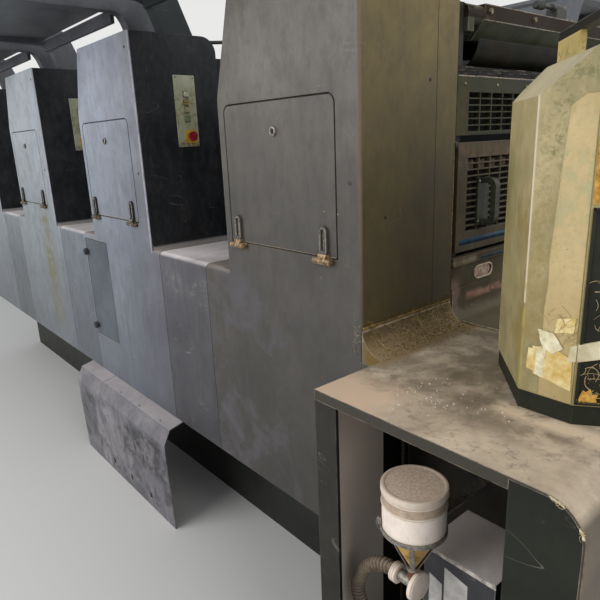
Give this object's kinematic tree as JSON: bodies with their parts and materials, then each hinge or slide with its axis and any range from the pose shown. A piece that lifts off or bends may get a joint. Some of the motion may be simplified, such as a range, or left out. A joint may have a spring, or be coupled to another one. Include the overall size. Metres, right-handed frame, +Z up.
{
  "type": "offset printing press",
  "caption": "Sheet-fed offset printing press: tall side covers with drop-down doors, mesh guards, awnings, and a delivery end with table, powder sprayer cabinet and console.",
  "frame": {"origin": "on the floor, under the middle of the press", "axes": "+X along the press towards the delivery end, +Y across the press from the drive side (with the doors) to the operator side, +Z up"},
  "size_m": [5.485, 3.06, 2.5],
  "materials": {
    "cover_near": "worn satin dark grey paint",
    "cover_dark": "worn satin dark grey paint",
    "cover_blue": "faded satin blue-grey paint",
    "control_plate": "satin grey-green plate",
    "stop_red": "gloss red",
    "awning_brown": "dull dark brown paint",
    "frame_green": "oily dark green paint",
    "core_dark": "oily near-black",
    "roller_steel": "oily turned steel",
    "deck_steel": "worn tread plate",
    "guard_grey": "dusty dark grey-green paint",
    "wiper_felt": "ink-stained felt",
    "swing_blue_black": "dusty blue-black paint",
    "pin_steel": "bare steel",
    "handle_black": "matte black",
    "lever_black": "matte black",
    "table_brown": "dusty worn paint, browned",
    "cabinet_green": "dark green-black paint",
    "cabinet_dark": "dark green-black paint",
    "pot_beige": "dusty cream plastic",
    "lid_alloy": "dusty perforated sheet",
    "cone_amber": "amber plastic",
    "hose_brown": "dusty corrugated hose",
    "box_grey": "satin dark grey paint",
    "plinth_dark": "dark paint",
    "console_beige": "stained yellowish-beige paint",
    "rail_yellow": "worn yellow paint",
    "plate_galvanised": "worn grey sheet"
  },
  "bodies": {
    "press": {"tower_1": "cover_near", "tower_2": "cover_dark", "tower_3": "cover_dark", "tower_4": "cover_blue", "recess_covers": "cover_dark", "control_plates": "control_plate", "stop_buttons": "stop_red", "awning_1": "awning_brown", "awning_2": "awning_brown", "awning_3": "awning_brown", "far_towers": "cover_dark", "fixed_doors": "cover_dark", "far_awnings": "awning_brown", "side_frames": "frame_green", "unit_cores": "core_dark", "rollers": "roller_steel", "guard_beams": "guard_grey", "wiper_strips": "wiper_felt", "mesh_guards": "guard_grey", "guard_aprons": "guard_grey", "levers": "lever_black", "bed_rails": "frame_green", "table_tops": "table_brown", "cabinet_frame": "cabinet_green", "cabinet_body": "cabinet_dark", "far_cabinet": "cabinet_green", "decks": "deck_steel", "powder_pot": "pot_beige", "powder_lid": "lid_alloy", "powder_cone": "cone_amber", "powder_bracket": "pin_steel", "powder_hose": "hose_brown", "spray_box": "box_grey", "console_plinth": "plinth_dark", "console_body": "console_beige", "console_rail": "rail_yellow", "foot_plate": "plate_galvanised"},
    "door_leaf_1": {"door_1": "cover_near"},
    "door_leaf_2": {"door_2": "cover_dark"},
    "door_leaf_3": {"door_3": "cover_dark"},
    "hatch_leaf_2": {"hatch_2": "cover_dark"},
    "hatch_leaf_4": {"hatch_4": "cover_blue"},
    "guard_leaf": {"swing_guard": "swing_blue_black", "guard_pins": "pin_steel", "guard_handle": "handle_black"}
  },
  "joints": [
    {"name": "door_1_hinge", "type": "hinge", "parent": "press", "child": "door_leaf_1", "pos_m": [1.6315, -1.024, 1.471], "axis": [1, 0, 0], "range_deg": [0, 95]},
    {"name": "door_2_hinge", "type": "hinge", "parent": "press", "child": "door_leaf_2", "pos_m": [0.3315, -1.024, 1.471], "axis": [1, 0, 0], "range_deg": [0, 95]},
    {"name": "door_3_hinge", "type": "hinge", "parent": "press", "child": "door_leaf_3", "pos_m": [-0.9685, -1.024, 1.471], "axis": [1, 0, 0], "range_deg": [0, 95]},
    {"name": "hatch_2_hinge", "type": "hinge", "parent": "press", "child": "hatch_leaf_2", "pos_m": [0.1615, -1.002, 1.058], "axis": [0, 0, 1], "range_deg": [0, 110]},
    {"name": "hatch_4_hinge", "type": "hinge", "parent": "press", "child": "hatch_leaf_4", "pos_m": [-2.4385, -1.002, 1.058], "axis": [0, 0, 1], "range_deg": [0, 110]},
    {"name": "guard_hinge", "type": "hinge", "parent": "press", "child": "guard_leaf", "pos_m": [1.9825, 0, 1.78], "axis": [0, -1, 0], "range_deg": [0, 90]}
  ]
}
